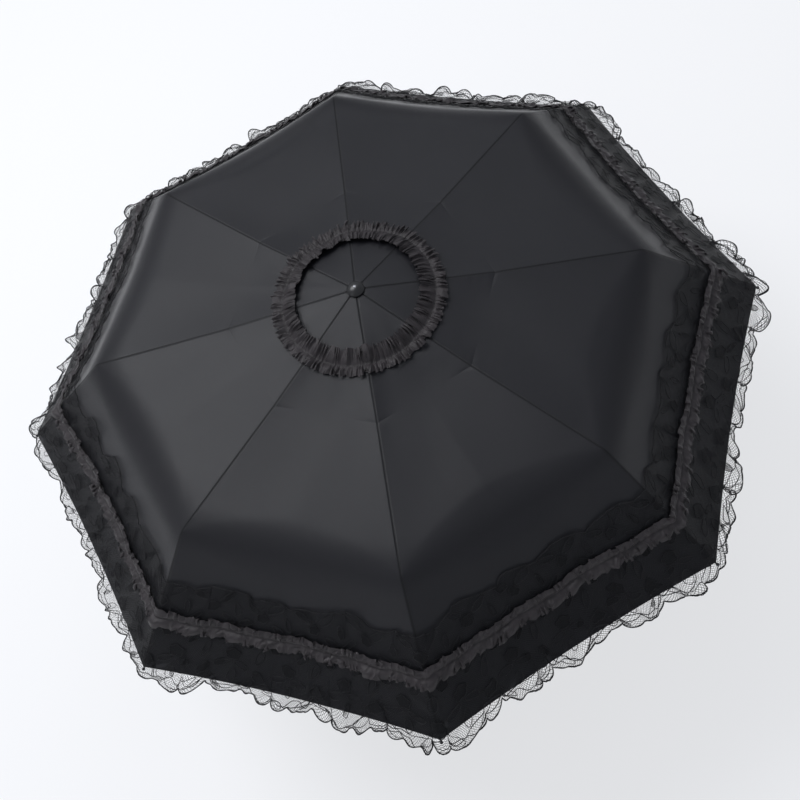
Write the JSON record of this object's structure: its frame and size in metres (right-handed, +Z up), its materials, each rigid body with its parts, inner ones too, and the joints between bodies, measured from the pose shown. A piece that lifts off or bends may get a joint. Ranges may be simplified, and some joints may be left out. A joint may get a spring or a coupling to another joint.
{
  "type": "folding lace parasol",
  "caption": "Folding sun parasol shown open: three-fold ribs on a telescoping shaft, coated canopy with a gathered lace skirt and pleated ribbons.",
  "frame": {"origin": "centre of the bottom of the handle, on the shaft axis", "axes": "+Z up along the shaft towards the crown; +Y along rib 1, ribs numbered clockwise seen from above"},
  "size_m": [0.9888, 0.9888, 0.5776],
  "materials": {
    "rib_steel": "satin black enamel",
    "rib_wire": "satin black enamel",
    "plated_metal": "polished",
    "shaft_steel": "polished",
    "moulded_plastic": "satin",
    "bush_plastic": "matte",
    "cap_plastic": "gloss",
    "grip_plastic": "satin",
    "coated_cloth": "soft satin, coated",
    "lace": "matte net and cord",
    "ribbon": "soft matte"
  },
  "bodies": {
    "handle": {"handle_grip": "grip_plastic", "handle_collar": "plated_metal", "end_disc": "plated_metal", "cross_pin": "plated_metal", "lower_tube": "shaft_steel", "lower_bush": "bush_plastic"},
    "middle_shaft": {"middle_tube": "shaft_steel", "middle_bush": "bush_plastic"},
    "upper_shaft": {"upper_tube": "shaft_steel", "crown_block": "moulded_plastic", "crown_wire": "plated_metal", "finial_cap": "cap_plastic", "finial_pin": "plated_metal", "canopy": "coated_cloth", "lace_skirt": "lace", "hem_ribbon": "ribbon", "crown_ribbon": "ribbon"},
    "runner": {"runner": "moulded_plastic", "runner_wire": "plated_metal"},
    "runner_catch": {"runner_catch": "plated_metal"},
    "top_rib_1": {"top_rib_1": "rib_steel"},
    "mid_rib_1": {"mid_rib_1": "rib_steel"},
    "tip_rib_1": {"tip_rib_1": "rib_wire"},
    "stretcher_1": {"stretcher_1": "rib_wire"},
    "pull_rod_1": {"pull_rod_1": "rib_wire"},
    "top_rib_2": {"top_rib_2": "rib_steel"},
    "mid_rib_2": {"mid_rib_2": "rib_steel"},
    "tip_rib_2": {"tip_rib_2": "rib_wire"},
    "stretcher_2": {"stretcher_2": "rib_wire"},
    "pull_rod_2": {"pull_rod_2": "rib_wire"},
    "top_rib_3": {"top_rib_3": "rib_steel"},
    "mid_rib_3": {"mid_rib_3": "rib_steel"},
    "tip_rib_3": {"tip_rib_3": "rib_wire"},
    "stretcher_3": {"stretcher_3": "rib_wire"},
    "pull_rod_3": {"pull_rod_3": "rib_wire"},
    "top_rib_4": {"top_rib_4": "rib_steel"},
    "mid_rib_4": {"mid_rib_4": "rib_steel"},
    "tip_rib_4": {"tip_rib_4": "rib_wire"},
    "stretcher_4": {"stretcher_4": "rib_wire"},
    "pull_rod_4": {"pull_rod_4": "rib_wire"},
    "top_rib_5": {"top_rib_5": "rib_steel"},
    "mid_rib_5": {"mid_rib_5": "rib_steel"},
    "tip_rib_5": {"tip_rib_5": "rib_wire"},
    "stretcher_5": {"stretcher_5": "rib_wire"},
    "pull_rod_5": {"pull_rod_5": "rib_wire"},
    "top_rib_6": {"top_rib_6": "rib_steel"},
    "mid_rib_6": {"mid_rib_6": "rib_steel"},
    "tip_rib_6": {"tip_rib_6": "rib_wire"},
    "stretcher_6": {"stretcher_6": "rib_wire"},
    "pull_rod_6": {"pull_rod_6": "rib_wire"},
    "top_rib_7": {"top_rib_7": "rib_steel"},
    "mid_rib_7": {"mid_rib_7": "rib_steel"},
    "tip_rib_7": {"tip_rib_7": "rib_wire"},
    "stretcher_7": {"stretcher_7": "rib_wire"},
    "pull_rod_7": {"pull_rod_7": "rib_wire"},
    "top_rib_8": {"top_rib_8": "rib_steel"},
    "mid_rib_8": {"mid_rib_8": "rib_steel"},
    "tip_rib_8": {"tip_rib_8": "rib_wire"},
    "stretcher_8": {"stretcher_8": "rib_wire"},
    "pull_rod_8": {"pull_rod_8": "rib_wire"}
  },
  "joints": [
    {"name": "middle_slide", "type": "slide", "parent": "handle", "child": "middle_shaft", "axis": [0, 0, -1], "range_m": [0, 0.15]},
    {"name": "upper_slide", "type": "slide", "parent": "middle_shaft", "child": "upper_shaft", "axis": [0, 0, -1], "range_m": [0, 0.142]},
    {"name": "runner_slide", "type": "slide", "parent": "upper_shaft", "child": "runner", "axis": [0, 0, -1], "range_m": [0, 0.10836], "deforming": ["canopy", "lace_skirt", "hem_ribbon", "crown_ribbon", "runner_catch"]},
    {"name": "catch_press", "type": "slide", "parent": "upper_shaft", "child": "runner_catch", "axis": [-0.3827, -0.9239, 0], "range_m": [0, 0.002], "stiffness_N_per_m": 600},
    {"name": "top_fold_1", "type": "hinge", "parent": "upper_shaft", "child": "top_rib_1", "pos_m": [0, 0.009, 0.565], "axis": [-1, 0, 0], "range_deg": [0, 79.01]},
    {"name": "mid_fold_1", "type": "hinge", "parent": "top_rib_1", "child": "mid_rib_1", "pos_m": [0, 0.16033, 0.54231], "axis": [1, 0, 0], "range_deg": [0, 170.51]},
    {"name": "tip_fold_1", "type": "hinge", "parent": "mid_rib_1", "child": "tip_rib_1", "pos_m": [0, 0.33126, 0.52294], "axis": [-1, 0, 0], "range_deg": [0, 135.51]},
    {"name": "stretcher_pivot_1", "type": "hinge", "parent": "top_rib_1", "child": "stretcher_1", "pos_m": [0, 0.08593, 0.55213], "axis": [1, 0, 0], "range_deg": [0, 138.98]},
    {"name": "pull_rod_pivot_1", "type": "hinge", "parent": "stretcher_1", "child": "pull_rod_1", "pos_m": [0, 0.07259, 0.54443], "axis": [-1, 0, 0], "range_deg": [0, 144.26]},
    {"name": "top_fold_2", "type": "hinge", "parent": "upper_shaft", "child": "top_rib_2", "pos_m": [0.00636, 0.00636, 0.565], "axis": [-0.7071, 0.7071, 0], "range_deg": [0, 79.01]},
    {"name": "mid_fold_2", "type": "hinge", "parent": "top_rib_2", "child": "mid_rib_2", "pos_m": [0.11337, 0.11337, 0.54231], "axis": [0.7071, -0.7071, 0], "range_deg": [0, 170.51]},
    {"name": "tip_fold_2", "type": "hinge", "parent": "mid_rib_2", "child": "tip_rib_2", "pos_m": [0.23424, 0.23424, 0.52294], "axis": [-0.7071, 0.7071, 0], "range_deg": [0, 135.51]},
    {"name": "stretcher_pivot_2", "type": "hinge", "parent": "top_rib_2", "child": "stretcher_2", "pos_m": [0.06076, 0.06076, 0.55213], "axis": [0.7071, -0.7071, 0], "range_deg": [0, 138.98]},
    {"name": "pull_rod_pivot_2", "type": "hinge", "parent": "stretcher_2", "child": "pull_rod_2", "pos_m": [0.05133, 0.05133, 0.54443], "axis": [-0.7071, 0.7071, 0], "range_deg": [0, 144.26]},
    {"name": "top_fold_3", "type": "hinge", "parent": "upper_shaft", "child": "top_rib_3", "pos_m": [0.009, 0, 0.565], "axis": [0, 1, 0], "range_deg": [0, 79.01]},
    {"name": "mid_fold_3", "type": "hinge", "parent": "top_rib_3", "child": "mid_rib_3", "pos_m": [0.16033, 0, 0.54231], "axis": [0, -1, 0], "range_deg": [0, 170.51]},
    {"name": "tip_fold_3", "type": "hinge", "parent": "mid_rib_3", "child": "tip_rib_3", "pos_m": [0.33126, 0, 0.52294], "axis": [0, 1, 0], "range_deg": [0, 135.51]},
    {"name": "stretcher_pivot_3", "type": "hinge", "parent": "top_rib_3", "child": "stretcher_3", "pos_m": [0.08593, 0, 0.55213], "axis": [0, -1, 0], "range_deg": [0, 138.98]},
    {"name": "pull_rod_pivot_3", "type": "hinge", "parent": "stretcher_3", "child": "pull_rod_3", "pos_m": [0.07259, 0, 0.54443], "axis": [0, 1, 0], "range_deg": [0, 144.26]},
    {"name": "top_fold_4", "type": "hinge", "parent": "upper_shaft", "child": "top_rib_4", "pos_m": [0.00636, -0.00636, 0.565], "axis": [0.7071, 0.7071, 0], "range_deg": [0, 79.01]},
    {"name": "mid_fold_4", "type": "hinge", "parent": "top_rib_4", "child": "mid_rib_4", "pos_m": [0.11337, -0.11337, 0.54231], "axis": [-0.7071, -0.7071, 0], "range_deg": [0, 170.51]},
    {"name": "tip_fold_4", "type": "hinge", "parent": "mid_rib_4", "child": "tip_rib_4", "pos_m": [0.23424, -0.23424, 0.52294], "axis": [0.7071, 0.7071, 0], "range_deg": [0, 135.51]},
    {"name": "stretcher_pivot_4", "type": "hinge", "parent": "top_rib_4", "child": "stretcher_4", "pos_m": [0.06076, -0.06076, 0.55213], "axis": [-0.7071, -0.7071, 0], "range_deg": [0, 138.98]},
    {"name": "pull_rod_pivot_4", "type": "hinge", "parent": "stretcher_4", "child": "pull_rod_4", "pos_m": [0.05133, -0.05133, 0.54443], "axis": [0.7071, 0.7071, 0], "range_deg": [0, 144.26]},
    {"name": "top_fold_5", "type": "hinge", "parent": "upper_shaft", "child": "top_rib_5", "pos_m": [0, -0.009, 0.565], "axis": [1, 0, 0], "range_deg": [0, 79.01]},
    {"name": "mid_fold_5", "type": "hinge", "parent": "top_rib_5", "child": "mid_rib_5", "pos_m": [0, -0.16033, 0.54231], "axis": [-1, 0, 0], "range_deg": [0, 170.51]},
    {"name": "tip_fold_5", "type": "hinge", "parent": "mid_rib_5", "child": "tip_rib_5", "pos_m": [0, -0.33126, 0.52294], "axis": [1, 0, 0], "range_deg": [0, 135.51]},
    {"name": "stretcher_pivot_5", "type": "hinge", "parent": "top_rib_5", "child": "stretcher_5", "pos_m": [0, -0.08593, 0.55213], "axis": [-1, 0, 0], "range_deg": [0, 138.98]},
    {"name": "pull_rod_pivot_5", "type": "hinge", "parent": "stretcher_5", "child": "pull_rod_5", "pos_m": [0, -0.07259, 0.54443], "axis": [1, 0, 0], "range_deg": [0, 144.26]},
    {"name": "top_fold_6", "type": "hinge", "parent": "upper_shaft", "child": "top_rib_6", "pos_m": [-0.00636, -0.00636, 0.565], "axis": [0.7071, -0.7071, 0], "range_deg": [0, 79.01]},
    {"name": "mid_fold_6", "type": "hinge", "parent": "top_rib_6", "child": "mid_rib_6", "pos_m": [-0.11337, -0.11337, 0.54231], "axis": [-0.7071, 0.7071, 0], "range_deg": [0, 170.51]},
    {"name": "tip_fold_6", "type": "hinge", "parent": "mid_rib_6", "child": "tip_rib_6", "pos_m": [-0.23424, -0.23424, 0.52294], "axis": [0.7071, -0.7071, 0], "range_deg": [0, 135.51]},
    {"name": "stretcher_pivot_6", "type": "hinge", "parent": "top_rib_6", "child": "stretcher_6", "pos_m": [-0.06076, -0.06076, 0.55213], "axis": [-0.7071, 0.7071, 0], "range_deg": [0, 138.98]},
    {"name": "pull_rod_pivot_6", "type": "hinge", "parent": "stretcher_6", "child": "pull_rod_6", "pos_m": [-0.05133, -0.05133, 0.54443], "axis": [0.7071, -0.7071, 0], "range_deg": [0, 144.26]},
    {"name": "top_fold_7", "type": "hinge", "parent": "upper_shaft", "child": "top_rib_7", "pos_m": [-0.009, 0, 0.565], "axis": [0, -1, 0], "range_deg": [0, 79.01]},
    {"name": "mid_fold_7", "type": "hinge", "parent": "top_rib_7", "child": "mid_rib_7", "pos_m": [-0.16033, 0, 0.54231], "axis": [0, 1, 0], "range_deg": [0, 170.51]},
    {"name": "tip_fold_7", "type": "hinge", "parent": "mid_rib_7", "child": "tip_rib_7", "pos_m": [-0.33126, 0, 0.52294], "axis": [0, -1, 0], "range_deg": [0, 135.51]},
    {"name": "stretcher_pivot_7", "type": "hinge", "parent": "top_rib_7", "child": "stretcher_7", "pos_m": [-0.08593, 0, 0.55213], "axis": [0, 1, 0], "range_deg": [0, 138.98]},
    {"name": "pull_rod_pivot_7", "type": "hinge", "parent": "stretcher_7", "child": "pull_rod_7", "pos_m": [-0.07259, 0, 0.54443], "axis": [0, -1, 0], "range_deg": [0, 144.26]},
    {"name": "top_fold_8", "type": "hinge", "parent": "upper_shaft", "child": "top_rib_8", "pos_m": [-0.00636, 0.00636, 0.565], "axis": [-0.7071, -0.7071, 0], "range_deg": [0, 79.01]},
    {"name": "mid_fold_8", "type": "hinge", "parent": "top_rib_8", "child": "mid_rib_8", "pos_m": [-0.11337, 0.11337, 0.54231], "axis": [0.7071, 0.7071, 0], "range_deg": [0, 170.51]},
    {"name": "tip_fold_8", "type": "hinge", "parent": "mid_rib_8", "child": "tip_rib_8", "pos_m": [-0.23424, 0.23424, 0.52294], "axis": [-0.7071, -0.7071, 0], "range_deg": [0, 135.51]},
    {"name": "stretcher_pivot_8", "type": "hinge", "parent": "top_rib_8", "child": "stretcher_8", "pos_m": [-0.06076, 0.06076, 0.55213], "axis": [0.7071, 0.7071, 0], "range_deg": [0, 138.98]},
    {"name": "pull_rod_pivot_8", "type": "hinge", "parent": "stretcher_8", "child": "pull_rod_8", "pos_m": [-0.05133, 0.05133, 0.54443], "axis": [-0.7071, -0.7071, 0], "range_deg": [0, 144.26]}
  ],
  "couplings": [
    {"joint": "top_fold_1", "follows": "runner_slide", "rad_per_m": 12.724},
    {"joint": "mid_fold_1", "follows": "runner_slide", "rad_per_m": 27.462},
    {"joint": "tip_fold_1", "follows": "runner_slide", "rad_per_m": 21.825},
    {"joint": "stretcher_pivot_1", "follows": "runner_slide", "rad_per_m": 22.384},
    {"joint": "pull_rod_pivot_1", "follows": "runner_slide", "rad_per_m": 23.235},
    {"joint": "top_fold_2", "follows": "runner_slide", "rad_per_m": 12.724},
    {"joint": "mid_fold_2", "follows": "runner_slide", "rad_per_m": 27.462},
    {"joint": "tip_fold_2", "follows": "runner_slide", "rad_per_m": 21.825},
    {"joint": "stretcher_pivot_2", "follows": "runner_slide", "rad_per_m": 22.384},
    {"joint": "pull_rod_pivot_2", "follows": "runner_slide", "rad_per_m": 23.235},
    {"joint": "top_fold_3", "follows": "runner_slide", "rad_per_m": 12.724},
    {"joint": "mid_fold_3", "follows": "runner_slide", "rad_per_m": 27.462},
    {"joint": "tip_fold_3", "follows": "runner_slide", "rad_per_m": 21.825},
    {"joint": "stretcher_pivot_3", "follows": "runner_slide", "rad_per_m": 22.384},
    {"joint": "pull_rod_pivot_3", "follows": "runner_slide", "rad_per_m": 23.235},
    {"joint": "top_fold_4", "follows": "runner_slide", "rad_per_m": 12.724},
    {"joint": "mid_fold_4", "follows": "runner_slide", "rad_per_m": 27.462},
    {"joint": "tip_fold_4", "follows": "runner_slide", "rad_per_m": 21.825},
    {"joint": "stretcher_pivot_4", "follows": "runner_slide", "rad_per_m": 22.384},
    {"joint": "pull_rod_pivot_4", "follows": "runner_slide", "rad_per_m": 23.235},
    {"joint": "top_fold_5", "follows": "runner_slide", "rad_per_m": 12.724},
    {"joint": "mid_fold_5", "follows": "runner_slide", "rad_per_m": 27.462},
    {"joint": "tip_fold_5", "follows": "runner_slide", "rad_per_m": 21.825},
    {"joint": "stretcher_pivot_5", "follows": "runner_slide", "rad_per_m": 22.384},
    {"joint": "pull_rod_pivot_5", "follows": "runner_slide", "rad_per_m": 23.235},
    {"joint": "top_fold_6", "follows": "runner_slide", "rad_per_m": 12.724},
    {"joint": "mid_fold_6", "follows": "runner_slide", "rad_per_m": 27.462},
    {"joint": "tip_fold_6", "follows": "runner_slide", "rad_per_m": 21.825},
    {"joint": "stretcher_pivot_6", "follows": "runner_slide", "rad_per_m": 22.384},
    {"joint": "pull_rod_pivot_6", "follows": "runner_slide", "rad_per_m": 23.235},
    {"joint": "top_fold_7", "follows": "runner_slide", "rad_per_m": 12.724},
    {"joint": "mid_fold_7", "follows": "runner_slide", "rad_per_m": 27.462},
    {"joint": "tip_fold_7", "follows": "runner_slide", "rad_per_m": 21.825},
    {"joint": "stretcher_pivot_7", "follows": "runner_slide", "rad_per_m": 22.384},
    {"joint": "pull_rod_pivot_7", "follows": "runner_slide", "rad_per_m": 23.235},
    {"joint": "top_fold_8", "follows": "runner_slide", "rad_per_m": 12.724},
    {"joint": "mid_fold_8", "follows": "runner_slide", "rad_per_m": 27.462},
    {"joint": "tip_fold_8", "follows": "runner_slide", "rad_per_m": 21.825},
    {"joint": "stretcher_pivot_8", "follows": "runner_slide", "rad_per_m": 22.384},
    {"joint": "pull_rod_pivot_8", "follows": "runner_slide", "rad_per_m": 23.235}
  ]
}
